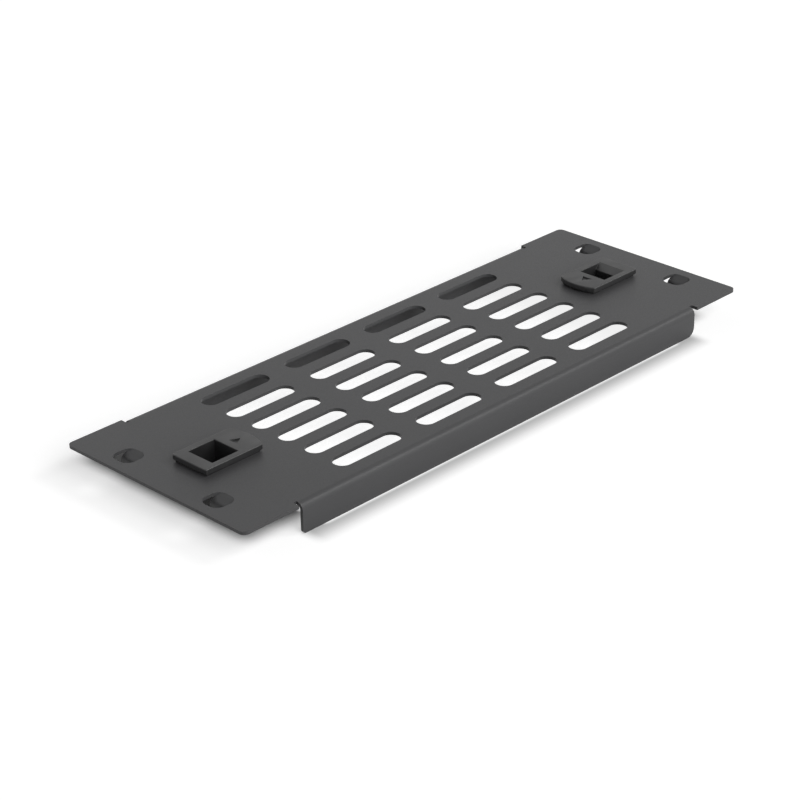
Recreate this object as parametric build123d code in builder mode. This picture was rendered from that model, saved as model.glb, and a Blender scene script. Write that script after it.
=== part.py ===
"""Rack blanking panel for a ten-inch rack, two units high.

A folded steel sheet carries rows of vent slots, four locating tabs lanced out of its ears and two
plastic slide latches that grip the rack rails from behind. X runs along the panel, Y across it and
Z out of its front face. The origin is in the middle of the panel, level with the lower edges of its
two flanges. All sizes are in millimetres.
"""

import math
import os

from build123d import *

# Folded sheet
panel_length = 254.0
panel_width = 88.1
sheet_thickness = 1.2
ear_corner_radius = 2.2

# Flanges along both long edges, and the reliefs that part them from the ears
flange_height = 11.0
flange_from_end = 25.3
flange_bend_radius = 2.7
flange_left_corner_radius = 1.2
flange_right_corner_radius = 3.5
relief_width = 1.5
relief_past_bend = 0.2
relief_corner_radius = 0.7

# Vent slots
vent_columns = 4
vent_rows = 6
vent_end_margin = 51.95
vent_side_margin = 7.85
vent_bridge = 9.9
vent_rib = 5.6
vent_field_offset = -1.0

# Lanced windows in the ears, and the tab bent down out of each one
window_from_end = 8.75
window_spacing_y = 44.45
window_size = 9.3
window_corner_radius = 3.5
tab_face_from_bend = 4.2
tab_slope_deg = 30.0
tab_fold_radius = 1.4
tab_root_length = 1.0

# Rail of the rack, which the ears lie on and the latches hook behind
rail_thickness = 2.0
rail_clearance = 0.2

# Slide latch: its top plate, as seen from the front
latch_from_end = 16.0
latch_plate_length = 25.1
latch_plate_width = 17.0
latch_plate_thickness = 2.0
latch_plate_bow = 2.0
latch_corner_radius = 0.7
latch_edge_radius = 0.4
latch_standoff = 0.9
latch_pad_inset = 0.8

# Slide latch: finger window and the cup below it
finger_from_outer = 4.7
finger_ramp_length = 2.6
finger_ramp_depth = 2.3
finger_ramp_lip_radius = 0.4
finger_edge_radius = 0.35
cup_length = 9.2
cup_width = 12.0
cup_wall = 1.0
cup_floor = 1.6

# Slide latch: tongue behind the rail and snap lips behind the sheet
tongue_reach = 10.6
tongue_thickness = 4.0
tongue_width = 12.0
tongue_lead_length = 2.4
tongue_lead_drop = 1.0
lip_length = 8.0
lip_overhang = 0.7
lip_land = 0.5
lip_ramp = 1.6

# Slide latch: arrow recess, travel and running clearances
arrow_length = 3.4
arrow_half_width = 2.1
arrow_depth = 0.6
arrow_from_cup = 2.9
latch_travel = 5.0
slide_clearance = 0.1
slot_corner_radius = 0.6
neck_corner_radius = 0.8

# Slack with which an edge is found by its place
edge_tolerance = 0.01

# Heights that follow from the sizes above
sheet_top = flange_height
sheet_back = sheet_top - sheet_thickness
plate_bottom = sheet_top + latch_standoff
plate_top = plate_bottom + latch_plate_thickness
tongue_top = sheet_back - rail_thickness - rail_clearance
cup_bottom = tongue_top - tongue_thickness

# Lengths and spacings that follow from the panel's length and width
flange_length = panel_length - 2 * flange_from_end
vent_length = (panel_length - 2 * vent_end_margin + vent_bridge) / vent_columns - vent_bridge
vent_width = (panel_width - 2 * vent_side_margin + vent_rib) / vent_rows - vent_rib
window_spacing_x = panel_length - 2 * window_from_end

# Places along the right latch that follow from the sizes above
latch_outer_x = panel_length / 2 - latch_from_end
finger_outer_x = latch_outer_x - finger_from_outer
cup_outer_x = finger_outer_x - finger_ramp_length
cup_inner_x = cup_outer_x - cup_length
neck_outer_x = cup_outer_x + cup_wall
neck_inner_x = cup_inner_x - cup_wall
neck_width = cup_width + 2 * cup_wall
tongue_tip_x = neck_outer_x + tongue_reach
plate_inner_x = latch_outer_x - latch_plate_length
arrow_base_x = cup_inner_x - arrow_from_cup
slot_outer_x = neck_outer_x + slide_clearance
slot_inner_x = neck_inner_x - latch_travel - slide_clearance
slot_width = neck_width + 2 * slide_clearance

# Tab sizes that follow from the window it was lanced from
tab_bend_x = window_size / 2
tab_drop_x = tab_bend_x - tab_face_from_bend + sheet_thickness / 2
tab_slope_angle = math.radians(tab_slope_deg)
tab_drop_angle = math.pi / 2 - tab_slope_angle
tab_slope_run = tab_bend_x - tab_drop_x
tab_slope_length = tab_slope_run / math.cos(tab_slope_angle)
tab_saved_by_folds = tab_fold_radius * (
    2 * math.tan(tab_slope_angle / 2) + 2 * math.tan(tab_drop_angle / 2) - math.pi / 2
)
sheet_middle = sheet_top - sheet_thickness / 2
tab_drop_top = sheet_middle - tab_slope_run * math.tan(tab_slope_angle)
tab_tip = tab_drop_top - (window_size - tab_slope_length + tab_saved_by_folds)

ear_inner_x = flange_length / 2 + relief_width
relief_depth = flange_bend_radius + relief_past_bend


def at_height(edge, height):
    """Tell whether an edge's middle lies at the given height."""
    return abs(edge.center().Z - height) < edge_tolerance


with BuildPart() as tab:
    # Folded strip, drawn about the middle of its window: a slope, and then a drop behind the rail's face
    with BuildSketch(Plane.XZ):
        with BuildLine():
            FilletPolyline(
                (tab_bend_x + tab_root_length, sheet_middle),
                (tab_bend_x, sheet_middle),
                (tab_drop_x, tab_drop_top),
                (tab_drop_x, tab_tip),
                radius=tab_fold_radius,
            )
        trace(line_width=sheet_thickness)
    extrude(amount=window_size / 2, both=True)
    tip_corners = tab.edges().filter_by(Axis.X).filter_by(lambda edge: at_height(edge, tab_tip))
    fillet(tip_corners, radius=window_corner_radius)

with BuildPart() as panel:
    # Flat sheet, cut back along both long edges between the ears
    with BuildSketch(Plane.XY.offset(sheet_back)):
        RectangleRounded(panel_length, panel_width, ear_corner_radius)
        with GridLocations(0, panel_width - relief_depth, 1, 2):
            Rectangle(2 * ear_inner_x, relief_depth, mode=Mode.SUBTRACT)
    extrude(amount=sheet_thickness)
    relief_corners = panel.edges().filter_by(Axis.Z).filter_by(
        lambda edge: abs(abs(edge.center().X) - ear_inner_x) < edge_tolerance
        and abs(edge.center().Y) < panel_width / 2 - relief_depth / 2
    )
    fillet(relief_corners, radius=relief_corner_radius)

    # Channel section: the web and both folded flanges
    with BuildSketch(Plane.YZ):
        Rectangle(panel_width, flange_height, align=(Align.CENTER, Align.MIN))
        fillet(vertices().group_by(Axis.Y)[-1], radius=flange_bend_radius)
        with BuildSketch(mode=Mode.SUBTRACT):
            Rectangle(
                panel_width - 2 * sheet_thickness,
                sheet_back,
                align=(Align.CENTER, Align.MIN),
            )
            fillet(vertices().group_by(Axis.Y)[-1], radius=flange_bend_radius - sheet_thickness)
    extrude(amount=flange_length / 2, both=True)
    flange_corners = panel.edges().filter_by(Axis.Y).filter_by(lambda edge: at_height(edge, 0))
    left_corners, right_corners = flange_corners.group_by(Axis.X)
    fillet(left_corners, radius=flange_left_corner_radius)
    fillet(right_corners, radius=flange_right_corner_radius)

    # Vent slots
    with BuildSketch(Plane.XY.offset(sheet_top)):
        with Locations((vent_field_offset, 0)):
            with GridLocations(vent_length + vent_bridge, vent_width + vent_rib, vent_columns, vent_rows):
                SlotOverall(vent_length, vent_width)
    extrude(amount=-sheet_thickness, mode=Mode.SUBTRACT)

    # Ear windows
    with BuildSketch(Plane.XY.offset(sheet_top)):
        with GridLocations(window_spacing_x, window_spacing_y, 2, 2):
            RectangleRounded(window_size, window_size, window_corner_radius)
    extrude(amount=-sheet_thickness, mode=Mode.SUBTRACT)

    # Tabs, each bent down from its window's right-hand end
    with GridLocations(window_spacing_x, window_spacing_y, 2, 2):
        add(tab.part)

    # Slots that the latch necks slide in
    with BuildSketch(Plane.XY.offset(sheet_top)):
        with GridLocations(slot_outer_x + slot_inner_x, 0, 2, 1):
            RectangleRounded(slot_outer_x - slot_inner_x, slot_width, slot_corner_radius)
    extrude(amount=-sheet_thickness, mode=Mode.SUBTRACT)
panel.part.label = "panel"

with BuildPart() as right_latch:
    # Top plate, bowed towards the middle of the panel
    with BuildSketch(Plane.XY.offset(plate_bottom)) as plate_outline:
        with BuildLine():
            near_corner = (plate_inner_x, -latch_plate_width / 2)
            far_corner = (plate_inner_x, latch_plate_width / 2)
            ThreePointArc(near_corner, (plate_inner_x - latch_plate_bow, 0), far_corner)
            Polyline(
                far_corner,
                (latch_outer_x, latch_plate_width / 2),
                (latch_outer_x, -latch_plate_width / 2),
                near_corner,
            )
        make_face()
        fillet(plate_outline.vertices(), radius=latch_corner_radius)
    extrude(amount=latch_plate_thickness)
    fillet(right_latch.faces().sort_by(Axis.Z)[-1].edges(), radius=latch_edge_radius)

    # Pad that carries the plate clear of the sheet
    with BuildSketch(Plane.XY.offset(sheet_top)):
        add(plate_outline.sketch)
        offset(amount=-latch_pad_inset, mode=Mode.REPLACE)
    extrude(amount=latch_standoff)

    # Neck through the sheet, which is the outside of the cup
    with BuildSketch(Plane.XY.offset(cup_bottom)):
        with Locations(((neck_inner_x + neck_outer_x) / 2, 0)):
            RectangleRounded(neck_outer_x - neck_inner_x, neck_width, neck_corner_radius)
    extrude(amount=plate_bottom - cup_bottom)

    # Tongue behind the rail, with a lead-in slope on the face that slides under the rail
    with BuildSketch(Plane.XZ):
        with BuildLine():
            Polyline(
                (cup_outer_x, cup_bottom),
                (cup_outer_x, tongue_top),
                (tongue_tip_x - tongue_lead_length, tongue_top),
                (tongue_tip_x, tongue_top - tongue_lead_drop),
                (tongue_tip_x, cup_bottom),
                close=True,
            )
        make_face()
    extrude(amount=tongue_width / 2, both=True)

    # Snap lips behind the sheet on both sides of the neck
    with BuildSketch(Plane.YZ.offset((neck_inner_x + neck_outer_x) / 2)):
        with BuildLine():
            lip_top = sheet_back - slide_clearance
            Polyline(
                (neck_width / 2, lip_top),
                (neck_width / 2 + lip_overhang, lip_top),
                (neck_width / 2 + lip_overhang, lip_top - lip_land),
                (neck_width / 2, lip_top - lip_land - lip_ramp),
                close=True,
            )
        make_face()
        mirror(about=Plane.YZ)
    extrude(amount=lip_length / 2, both=True)

    # Finger window: the cup below it and the ramp at its outer end
    with BuildSketch(Plane.XY.offset(plate_top)):
        with Locations((cup_inner_x, 0)):
            Rectangle(cup_length, cup_width, align=(Align.MIN, Align.CENTER))
    extrude(amount=-(plate_top - cup_bottom - cup_floor), mode=Mode.SUBTRACT)
    with BuildSketch(Plane.XZ):
        with BuildLine():
            Polyline(
                (cup_outer_x, plate_top),
                (finger_outer_x, plate_top),
                (cup_outer_x, plate_top - finger_ramp_depth),
                close=True,
            )
        make_face()
    extrude(amount=cup_width / 2, both=True, mode=Mode.SUBTRACT)
    ramp_lip = right_latch.edges().filter_by(Axis.Y).filter_by(
        lambda edge: at_height(edge, plate_top - finger_ramp_depth)
    )
    fillet(ramp_lip, radius=finger_ramp_lip_radius)
    finger_rim = right_latch.edges().filter_by(
        lambda edge: at_height(edge, plate_top)
        and abs(edge.center().Y) < (cup_width + latch_plate_width) / 4
        and cup_inner_x - edge_tolerance < edge.center().X < finger_outer_x + edge_tolerance
    )
    fillet(finger_rim, radius=finger_edge_radius)

    # Arrow recess, pointing the way the latch slides to let go
    with BuildSketch(Plane.XY.offset(plate_top)):
        with BuildLine():
            Polyline(
                (arrow_base_x, arrow_half_width),
                (arrow_base_x, -arrow_half_width),
                (arrow_base_x - arrow_length, 0),
                close=True,
            )
        make_face()
    extrude(amount=-arrow_depth, mode=Mode.SUBTRACT)
right_latch.part.label = "right_latch"

with BuildPart() as left_latch:
    mirror(right_latch.part, about=Plane.YZ)
left_latch.part.label = "left_latch"

os.makedirs("parts", exist_ok=True)
export_step(panel.part, "parts/panel.step")
export_step(left_latch.part, "parts/left_latch.step")
export_step(right_latch.part, "parts/right_latch.step")
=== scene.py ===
"""Dresses a ten-inch rack blanking panel and sets it in a plain pale studio.

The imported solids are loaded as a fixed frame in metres: X runs along the panel, Y across it and Z out
of its front face, and the panel lies on its two flange edges at z = 0. Each solid is shown through a
smooth copy of itself whose sharp edges are eased, with a finish worked out from sizes in millimetres.
"""

import logging
import math
from dataclasses import dataclass
from enum import Enum

import bmesh
import bpy
import numpy as np
from mathutils import Matrix, Vector


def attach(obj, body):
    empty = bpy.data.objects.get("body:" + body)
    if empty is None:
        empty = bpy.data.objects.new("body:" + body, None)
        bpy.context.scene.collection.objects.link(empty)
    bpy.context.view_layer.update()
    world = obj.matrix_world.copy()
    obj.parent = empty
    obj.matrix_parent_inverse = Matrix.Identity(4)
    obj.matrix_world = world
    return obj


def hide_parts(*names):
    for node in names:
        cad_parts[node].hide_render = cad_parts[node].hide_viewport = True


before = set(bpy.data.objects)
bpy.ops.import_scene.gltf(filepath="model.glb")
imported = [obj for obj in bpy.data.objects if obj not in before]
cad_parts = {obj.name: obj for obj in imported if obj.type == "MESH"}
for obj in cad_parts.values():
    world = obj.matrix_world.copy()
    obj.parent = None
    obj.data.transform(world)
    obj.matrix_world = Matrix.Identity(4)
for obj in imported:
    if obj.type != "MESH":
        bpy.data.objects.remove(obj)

MM = 0.001

# Most of a noise texture's values lie between these two
NOISE_LOW = 0.3
NOISE_HIGH = 0.7

# Two lengths or places in millimetres, along X and along Y
Pair = tuple[float, float]

log = logging.getLogger("blanking_panel")


def linear(hex_colour: str) -> tuple[float, float, float, float]:
    """Turn an sRGB hex colour into the linear values that a shader takes.

    Each channel c is c / 12.92 up to 0.04045, and ((c + 0.055) / 1.055) to the power 2.4 above it.

    Args:
        hex_colour: The colour, such as "#3a3a3c".

    Returns:
        Red, green, blue and an alpha of 1.
    """
    channels = np.array([int(hex_colour[i:i + 2], 16) for i in (1, 3, 5)]) / 255
    values = np.where(channels <= 0.04045, channels / 12.92, ((channels + 0.055) / 1.055) ** 2.4)
    return (*values.tolist(), 1.0)


def texture_scale(size_mm: float) -> float:
    """Turn the size of a pattern's patches into the scale that a texture takes."""
    return 1 / (size_mm * MM)


def add_node(
    tree: bpy.types.NodeTree, kind: str, inputs: dict | None = None, **settings: object
) -> bpy.types.Node:
    """Add a node to a tree with its settings, values and links.

    Args:
        tree: The node tree that the node goes into.
        kind: The node's type name.
        inputs: For an input's name or number, either the output that feeds it or a plain value.
        **settings: The node's own settings.

    Returns:
        The new node.
    """
    node = tree.nodes.new(kind)
    for name, value in settings.items():
        setattr(node, name, value)
    for name, value in (inputs or {}).items():
        if isinstance(value, bpy.types.NodeSocket):
            tree.links.new(value, node.inputs[name])
        else:
            node.inputs[name].default_value = value
    return node


def empty_material(name: str) -> bpy.types.Material:
    """Make a node material with nothing in it but its output.

    Args:
        name: The material's name.

    Returns:
        The material, whose output node is called Material Output.
    """
    material = bpy.data.materials.new(name)
    material.use_nodes = True
    material.node_tree.nodes.clear()
    material.node_tree.nodes.new("ShaderNodeOutputMaterial")
    return material


def rays_that_show(tree: bpy.types.NodeTree) -> bpy.types.NodeSocket:
    """Tell the rays that show a background from those that only carry its light.

    Args:
        tree: The node tree that asks.

    Returns:
        An output of 1 for camera, glossy and transmission rays, and 0 for all others.
    """
    path = add_node(tree, "ShaderNodeLightPath").outputs
    seen = path["Is Camera Ray"]
    for kind in ("Is Glossy Ray", "Is Transmission Ray"):
        either = add_node(tree, "ShaderNodeMath", {0: seen, 1: path[kind]}, operation="MAXIMUM")
        seen = either.outputs["Value"]
    return seen


@dataclass(frozen=True)
class PowderCoat:
    """Polyester powder coat, sprayed dry on folded steel and baked.

    The powder melts into one satin film. The eye gets an even charcoal grey with a soft sheen, a faint
    orange peel where the film levelled, a fine grain, and slow changes of tone with the film's thickness.
    """

    name: str = "polyester_powder_coat"
    thin_film: str = "#444445"
    thick_film: str = "#3e3e3f"
    roughness: float = 0.43
    roughness_spread: float = 0.08
    ior: float = 1.5
    specular: float = 0.24
    film_patch_mm: float = 45.0
    film_patch_detail: float = 2.0
    peel_mm: float = 1.6
    peel_detail: float = 1.0
    peel_depth_mm: float = 0.012
    grain_mm: float = 0.42
    grain_detail: float = 3.0
    grain_depth_mm: float = 0.005

    def build(self) -> bpy.types.Material:
        """Build the material.

        Returns:
            A material that reads Object coordinates.
        """
        material = empty_material(self.name)
        tree = material.node_tree
        place = add_node(tree, "ShaderNodeTexCoord").outputs["Object"]
        # Film thickness changes over a few centimetres, since the gun passes over the sheet in strokes
        patches = add_node(
            tree,
            "ShaderNodeTexNoise",
            {
                "Vector": place,
                "Scale": texture_scale(self.film_patch_mm),
                "Detail": self.film_patch_detail,
            },
        )
        colour = add_node(
            tree,
            "ShaderNodeMix",
            {
                "Factor": patches.outputs["Fac"],
                "A": linear(self.thin_film),
                "B": linear(self.thick_film),
            },
            data_type="RGBA",
        )
        # Powder grains are 0.03 to 0.05 mm and too fine to show, so the grain is drawn ten times as coarse
        grain = add_node(
            tree,
            "ShaderNodeTexNoise",
            {"Vector": place, "Scale": texture_scale(self.grain_mm), "Detail": self.grain_detail},
        )
        roughness = add_node(
            tree,
            "ShaderNodeMapRange",
            {
                "Value": grain.outputs["Fac"],
                "From Min": NOISE_LOW,
                "From Max": NOISE_HIGH,
                "To Min": self.roughness - self.roughness_spread,
                "To Max": self.roughness + self.roughness_spread,
            },
        )
        # Orange peel: low swells a millimetre or two across, where the melt stopped levelling
        peel = add_node(
            tree,
            "ShaderNodeTexNoise",
            {"Vector": place, "Scale": texture_scale(self.peel_mm), "Detail": self.peel_detail},
        )
        peel_bump = add_node(
            tree,
            "ShaderNodeBump",
            {"Height": peel.outputs["Fac"], "Distance": self.peel_depth_mm * MM},
        )
        grain_bump = add_node(
            tree,
            "ShaderNodeBump",
            {
                "Height": grain.outputs["Fac"],
                "Distance": self.grain_depth_mm * MM,
                "Normal": peel_bump.outputs["Normal"],
            },
        )
        shader = add_node(
            tree,
            "ShaderNodeBsdfPrincipled",
            {
                "Base Color": colour.outputs["Result"],
                "Roughness": roughness.outputs["Result"],
                "Normal": grain_bump.outputs["Normal"],
                "IOR": self.ior,
                "Specular IOR Level": self.specular,
            },
        )
        tree.links.new(shader.outputs["BSDF"], tree.nodes["Material Output"].inputs["Surface"])
        return material


@dataclass(frozen=True)
class MouldedNylon:
    """Black nylon, injection moulded against a spark-eroded steel tool.

    The tool leaves a fine even pitting. The eye gets a near-black body with a grey sheen on faces that
    catch the light, deep black where no light reaches, and slightly duller patches where the melt met.
    """

    name: str = "moulded_black_nylon"
    body: str = "#101011"
    flow_tone: str = "#0d0d0e"
    roughness: float = 0.48
    roughness_spread: float = 0.06
    ior: float = 1.53
    specular: float = 0.56
    flow_mm: float = 9.0
    flow_detail: float = 2.0
    pit_mm: float = 0.35
    pit_depth_mm: float = 0.006

    def build(self) -> bpy.types.Material:
        """Build the material.

        Returns:
            A material that reads Object coordinates.
        """
        material = empty_material(self.name)
        tree = material.node_tree
        place = add_node(tree, "ShaderNodeTexCoord").outputs["Object"]
        flow = add_node(
            tree,
            "ShaderNodeTexNoise",
            {"Vector": place, "Scale": texture_scale(self.flow_mm), "Detail": self.flow_detail},
        )
        colour = add_node(
            tree,
            "ShaderNodeMix",
            {"Factor": flow.outputs["Fac"], "A": linear(self.body), "B": linear(self.flow_tone)},
            data_type="RGBA",
        )
        roughness = add_node(
            tree,
            "ShaderNodeMapRange",
            {
                "Value": flow.outputs["Fac"],
                "From Min": NOISE_LOW,
                "From Max": NOISE_HIGH,
                "To Min": self.roughness - self.roughness_spread,
                "To Max": self.roughness + self.roughness_spread,
            },
        )
        # Spark pits are about 0.05 mm across and too fine to show, so they are drawn seven times as coarse
        pits = add_node(
            tree,
            "ShaderNodeTexVoronoi",
            {"Vector": place, "Scale": texture_scale(self.pit_mm)},
            feature="SMOOTH_F1",
        )
        bump = add_node(
            tree,
            "ShaderNodeBump",
            {"Height": pits.outputs["Distance"], "Distance": self.pit_depth_mm * MM},
        )
        shader = add_node(
            tree,
            "ShaderNodeBsdfPrincipled",
            {
                "Base Color": colour.outputs["Result"],
                "Roughness": roughness.outputs["Result"],
                "Normal": bump.outputs["Normal"],
                "IOR": self.ior,
                "Specular IOR Level": self.specular,
            },
        )
        tree.links.new(shader.outputs["BSDF"], tree.nodes["Material Output"].inputs["Surface"])
        return material


@dataclass(frozen=True)
class PaleFloor:
    """Matt pale grey card with a glow that paints light and shade on it.

    The eye gets a plain white ground with the object's soft shadow, partly cast by the lamps and partly
    painted. The card shines for rays that the camera sees, straight or in a gloss: strongly behind the
    vents, which paints light on the floor under the panel where its shade falls, by half in the open, and
    not at all beside the flanges and under the ears, which paints a shadow there. Seen from below it is
    clear.
    """

    name: str = "matt_pale_card"
    colour: str = "#d0d0d0"
    glow_colour: str = "#ffffff"
    open_glow: float = 0.6
    # Behind the vents the glow paints light on the floor under the panel, where its shade falls
    painted_vent_light_glow: float = 0.86
    # Each patch has two pairs of half sizes: it is full within the first and gone past the second
    painted_vent_light_mm: Pair = (90.0, 42.2)
    painted_vent_light_end_mm: Pair = (94.0, 46.2)
    # These patches take the glow away and so paint a shadow beside the flanges and under the ears
    flange_shade_mm: Pair = (98.0, 43.5)
    flange_shade_end_mm: Pair = (104.0, 55.0)
    channel_mm: Pair = (110.0, 42.6)
    channel_end_mm: Pair = (111.0, 43.4)
    ear_shade_mm: Pair = (113.5, 36.0)
    ear_shade_end_mm: Pair = (122.5, 47.0)
    ear_shade_middle_y_mm: float = 7.0

    def patch(
        self,
        tree: bpy.types.NodeTree,
        axes: bpy.types.Node,
        full_mm: Pair,
        end_mm: Pair,
        middle_y_mm: float = 0.0,
    ) -> bpy.types.NodeSocket:
        """Work out a soft-edged rectangle.

        For each axis a step falls smoothly from 1 at the full half size to 0 at the end's, and the
        patch is the product of both steps.

        Args:
            tree: The floor's node tree.
            axes: The node that gives X and Y.
            full_mm: Half sizes along X and Y within which the patch is 1.
            end_mm: Half sizes along X and Y past which it is 0.
            middle_y_mm: Where its middle is along Y. Its middle along X is 0.

        Returns:
            The output with the patch's value.
        """
        steps = []
        for axis, full, end, middle in zip("XY", full_mm, end_mm, (0.0, middle_y_mm)):
            from_middle = add_node(
                tree, "ShaderNodeMath", {0: axes.outputs[axis], 1: middle * MM}, operation="SUBTRACT"
            )
            away = add_node(tree, "ShaderNodeMath", {0: from_middle.outputs["Value"]}, operation="ABSOLUTE")
            step = add_node(
                tree,
                "ShaderNodeMapRange",
                {
                    "Value": away.outputs["Value"],
                    "From Min": full * MM,
                    "From Max": end * MM,
                    "To Min": 1.0,
                    "To Max": 0.0,
                },
                interpolation_type="SMOOTHSTEP",
            )
            steps.append(step.outputs["Result"])
        product = add_node(tree, "ShaderNodeMath", {0: steps[0], 1: steps[1]}, operation="MULTIPLY")
        return product.outputs["Value"]

    def glow(self, tree: bpy.types.NodeTree) -> bpy.types.NodeSocket:
        """Work out how strongly the card shines.

        The painted shade is the larger of the one beside the flanges, less the channel between them, and
        the one under the ears. The open glow fades with this painted shade, the vents' glow, which paints
        light under the panel where its shade falls, lies over it, and the larger of the two counts where
        the ray shows the background.

        Args:
            tree: The floor's node tree.

        Returns:
            The output with the strength.
        """
        place = add_node(tree, "ShaderNodeTexCoord").outputs["Object"]
        axes = add_node(tree, "ShaderNodeSeparateXYZ", {"Vector": place})
        # Painted light on the floor behind the vents, and painted shade beside the flanges and under the
        # ears
        painted_vent_light_patch = self.patch(tree, axes, self.painted_vent_light_mm, self.painted_vent_light_end_mm)
        painted_flange_shade = self.patch(tree, axes, self.flange_shade_mm, self.flange_shade_end_mm)
        in_channel = self.patch(tree, axes, self.channel_mm, self.channel_end_mm)
        painted_ear_shade = self.patch(
            tree, axes, self.ear_shade_mm, self.ear_shade_end_mm, self.ear_shade_middle_y_mm
        )
        outside = add_node(
            tree,
            "ShaderNodeMath",
            {0: painted_flange_shade, 1: in_channel},
            operation="SUBTRACT",
            use_clamp=True,
        )
        painted_shade = add_node(
            tree, "ShaderNodeMath", {0: outside.outputs["Value"], 1: painted_ear_shade}, operation="MAXIMUM"
        )
        open_part = add_node(
            tree,
            "ShaderNodeMapRange",
            {"Value": painted_shade.outputs["Value"], "To Min": self.open_glow, "To Max": 0.0},
        )
        painted_vent_light_part = add_node(
            tree, "ShaderNodeMath", {0: painted_vent_light_patch, 1: self.painted_vent_light_glow}, operation="MULTIPLY"
        )
        strength = add_node(
            tree,
            "ShaderNodeMath",
            {0: painted_vent_light_part.outputs["Value"], 1: open_part.outputs["Result"]},
            operation="MAXIMUM",
        )
        shown = add_node(
            tree,
            "ShaderNodeMath",
            {0: strength.outputs["Value"], 1: rays_that_show(tree)},
            operation="MULTIPLY",
        )
        return shown.outputs["Value"]

    def build(self) -> bpy.types.Material:
        """Build the material.

        Returns:
            A diffuse material with a glow for camera, glossy and transmission rays.
        """
        material = empty_material(self.name)
        tree = material.node_tree
        glow = add_node(
            tree, "ShaderNodeEmission", {"Color": linear(self.glow_colour), "Strength": self.glow(tree)}
        )
        card = add_node(tree, "ShaderNodeBsdfDiffuse", {"Color": linear(self.colour)})
        lit_card = add_node(
            tree, "ShaderNodeAddShader", {0: card.outputs["BSDF"], 1: glow.outputs["Emission"]}
        )
        # From below the card is clear, so that it doesn't hide the object's back
        from_below = add_node(tree, "ShaderNodeNewGeometry").outputs["Backfacing"]
        clear = add_node(tree, "ShaderNodeBsdfTransparent")
        surface = add_node(
            tree,
            "ShaderNodeMixShader",
            {0: from_below, 1: lit_card.outputs["Shader"], 2: clear.outputs["BSDF"]},
        )
        tree.links.new(surface.outputs["Shader"], tree.nodes["Material Output"].inputs["Surface"])
        return material


@dataclass
class DressedPart:
    """A solid of the frame, shown through a smooth copy with its sharp edges eased."""

    node: str
    body: str
    slot: str
    edge_radius_mm: float
    edge_segments: int = 2
    sharp_deg: float = 50.0
    smooth_deg: float = 35.0
    merge_mm: float = 0.001
    flat_deg: float = 0.3

    def build(self, finish: bpy.types.Material) -> bpy.types.Object:
        """Build the copy and put it in the place of its solid.

        The solid's loose triangles are merged where their corners meet, flat groups of them are made one
        face, and every edge that turns by more than sharp_deg gets a round of edge_radius_mm.

        Args:
            finish: The material that covers the whole piece.

        Returns:
            The dressed piece, which rides on its body.
        """
        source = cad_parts[self.node].data
        work = bmesh.new()
        work.from_mesh(source)
        bmesh.ops.remove_doubles(work, verts=work.verts, dist=self.merge_mm * MM)
        bmesh.ops.dissolve_limit(
            work, angle_limit=math.radians(self.flat_deg), verts=work.verts, edges=work.edges
        )
        for face in work.faces:
            face.smooth = True
        mesh = bpy.data.meshes.new(f"{self.node}_dressed")
        work.to_mesh(mesh)
        work.free()
        mesh.set_sharp_from_angle(angle=math.radians(self.smooth_deg))
        mesh.materials.clear()
        mesh.materials.append(finish)
        piece = bpy.data.objects.new(mesh.name, mesh)
        bpy.context.scene.collection.objects.link(piece)
        ease = piece.modifiers.new("eased_edges", "BEVEL")
        ease.width = self.edge_radius_mm * MM
        ease.segments = self.edge_segments
        ease.limit_method = "ANGLE"
        ease.angle_limit = math.radians(self.sharp_deg)
        ease.harden_normals = True
        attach(piece, self.body)
        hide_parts(self.node)
        faces = len(mesh.polygons)
        log.info("%s: %d faces, edges eased to %.2f mm", piece.name, faces, self.edge_radius_mm)
        return piece


class LatchSide(Enum):
    """The end of the panel that a latch sits at."""

    LEFT = "left_latch"
    RIGHT = "right_latch"


@dataclass
class FoldedSheet(DressedPart):
    """The vented steel sheet with its flanges, windows and tabs."""

    node: str = "panel"
    body: str = "panel"
    slot: str = "powder_coat"
    edge_radius_mm: float = 0.18


@dataclass
class SlideLatch(DressedPart):
    """A moulded latch, which slides along the panel to let go of its rail."""

    node: str = LatchSide.LEFT.value
    body: str = LatchSide.LEFT.value
    slot: str = "moulded_plastic"
    edge_radius_mm: float = 0.12

    @classmethod
    def at(cls, side: LatchSide) -> "SlideLatch":
        """Make the latch of one side."""
        return cls(node=side.value, body=side.value)


@dataclass
class StudioFloor:
    """A flat card far wider than the camera's view."""

    half_size_mm: float = 4000.0
    drop_mm: float = 0.05

    def build(self, finish: bpy.types.Material) -> bpy.types.Object:
        """Build the card as a two by two grid of points in the plane z = -drop_mm.

        Args:
            finish: The card's material.

        Returns:
            The floor, which is staging and no part of the object.
        """
        sides = [-self.half_size_mm, self.half_size_mm]
        x, y = np.meshgrid(sides, sides)
        points = np.stack([x, y, np.full_like(x, -self.drop_mm)], axis=-1).reshape(-1, 3) * MM
        mesh = bpy.data.meshes.new("studio_floor")
        mesh.from_pydata(points.tolist(), [], [(0, 1, 3, 2)])
        mesh.materials.append(finish)
        floor = bpy.data.objects.new("studio_floor", mesh)
        bpy.context.scene.collection.objects.link(floor)
        log.info("%s: %.1f m wide", floor.name, 2 * self.half_size_mm * MM)
        return floor


@dataclass
class SoftKey:
    """A soft light far away, given by where it comes from and how wide it looks."""

    name: str
    towards_light: tuple[float, float, float]
    width_deg: float
    strength: float

    def build(self) -> bpy.types.Object:
        """Build the light.

        Returns:
            A sun lamp whose rays come from towards_light.
        """
        lamp = bpy.data.lights.new(self.name, "SUN")
        lamp.energy = self.strength
        lamp.angle = math.radians(self.width_deg)
        light = bpy.data.objects.new(self.name, lamp)
        light.rotation_euler = Vector(self.towards_light).to_track_quat("Z", "Y").to_euler()
        bpy.context.scene.collection.objects.link(light)
        log.info("%s: strength %.2f over %.0f degrees", self.name, self.strength, self.width_deg)
        return light


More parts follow.
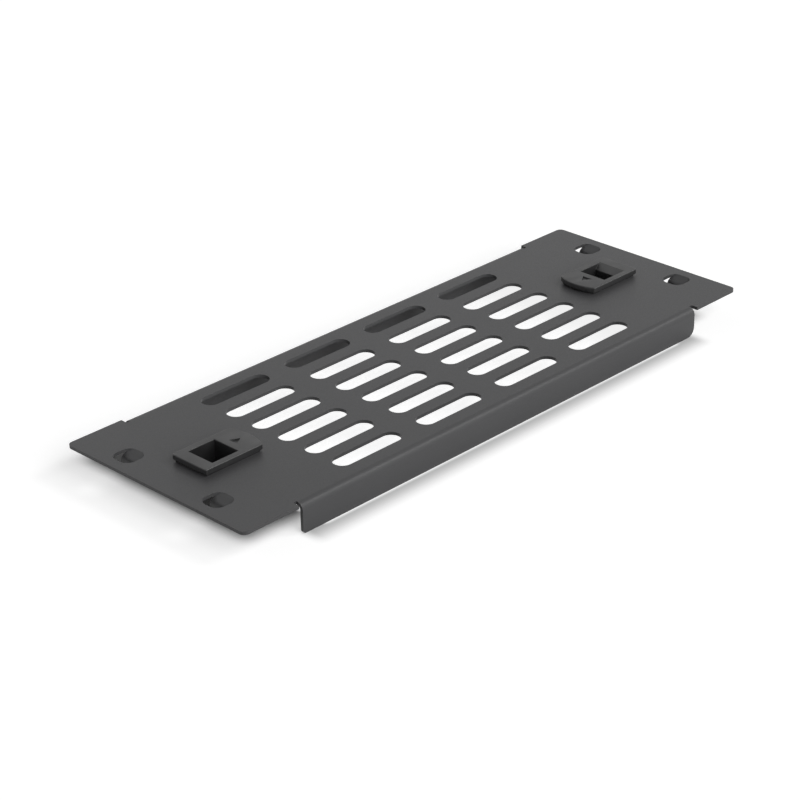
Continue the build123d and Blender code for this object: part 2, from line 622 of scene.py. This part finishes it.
@dataclass
class StudioWorld:
    """The pale room round the object, dim as a light and white where it is seen."""

    colour: str = "#ffffff"
    strength: float = 0.08
    seen_strength: float = 1.0

    def build(self) -> bpy.types.World:
        """Build the world.

        Returns:
            A world of one colour, which is white for rays that the camera sees, straight or in a gloss.
        """
        world = bpy.data.worlds.new("studio_room")
        world.use_nodes = True
        tree = world.node_tree
        tree.nodes.clear()
        strength = add_node(
            tree,
            "ShaderNodeMapRange",
            {"Value": rays_that_show(tree), "To Min": self.strength, "To Max": self.seen_strength},
        )
        room = add_node(
            tree,
            "ShaderNodeBackground",
            {"Color": linear(self.colour), "Strength": strength.outputs["Result"]},
        )
        output = add_node(tree, "ShaderNodeOutputWorld")
        tree.links.new(room.outputs["Background"], output.inputs["Surface"])
        bpy.context.scene.world = world
        log.info("%s: strength %.2f, seen as %.2f", world.name, self.strength, self.seen_strength)
        return world


@dataclass
class ViewCamera:
    """The camera, turned to the object from the front left and a little above."""

    azimuth_deg: float = -45.506
    elevation_deg: float = 26.711
    roll_deg: float = -0.869
    distance_mm: float = 828.681
    aside_mm: float = -7.341
    above_mm: float = -13.668
    aim_mm: tuple[float, float, float] = (0.0, 0.7, 11.0)
    lens_mm: float = 103.93
    sensor_mm: float = 36.0
    shift_x: float = -0.001
    shift_y: float = -0.0018
    nearest_mm: float = 10.0
    farthest_mm: float = 50000.0

    def build(self) -> bpy.types.Object:
        """Build the camera.

        It looks along minus back, where back = (sin a cos e, -cos a cos e, sin e) for azimuth a and
        elevation e. Right and up are then turned about back by the roll, and the camera stands at
        aim + distance * back + aside * right + above * up.

        Returns:
            The camera, which is made the scene's own.
        """
        a, e, roll = (math.radians(v) for v in (self.azimuth_deg, self.elevation_deg, self.roll_deg))
        back = Vector((math.sin(a) * math.cos(e), -math.cos(a) * math.cos(e), math.sin(e)))
        level = Vector((math.cos(a), math.sin(a), 0))
        upright = back.cross(level)
        right = math.cos(roll) * level + math.sin(roll) * upright
        up = -math.sin(roll) * level + math.cos(roll) * upright
        place = (
            Vector(self.aim_mm)
            + back * self.distance_mm
            + right * self.aside_mm
            + up * self.above_mm
        )
        turn = Matrix((right, up, back)).transposed().to_4x4()
        lens = bpy.data.cameras.new("view_camera")
        lens.lens = self.lens_mm
        lens.sensor_width = self.sensor_mm
        lens.shift_x = self.shift_x
        lens.shift_y = self.shift_y
        lens.clip_start = self.nearest_mm * MM
        lens.clip_end = self.farthest_mm * MM
        camera = bpy.data.objects.new("view_camera", lens)
        camera.matrix_world = Matrix.Translation(place * MM) @ turn
        bpy.context.scene.collection.objects.link(camera)
        bpy.context.scene.camera = camera
        log.info("%s: %.1f mm lens at %.0f mm", camera.name, self.lens_mm, self.distance_mm)
        return camera


def main() -> None:
    """Dress every solid, then build the floor, the lights and the camera."""
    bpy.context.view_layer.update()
    bpy.context.scene.view_settings.view_transform = "Standard"
    coat = PowderCoat().build()
    nylon = MouldedNylon().build()
    FoldedSheet().build(coat)
    for side in LatchSide:
        SlideLatch.at(side).build(nylon)
    StudioFloor().build(PaleFloor().build())
    SoftKey("front_key", towards_light=(0.0, -0.87, 0.49), width_deg=60.0, strength=2.65).build()
    SoftKey("bend_light", towards_light=(0.64, -0.45, 0.62), width_deg=20.0, strength=0.7).build()
    SoftKey("back_fill", towards_light=(-0.25, 0.83, 0.5), width_deg=60.0, strength=0.4).build()
    StudioWorld().build()
    ViewCamera().build()


if __name__ == "__main__":
    logging.basicConfig(level=logging.INFO, format="%(name)s: %(message)s")
    main()
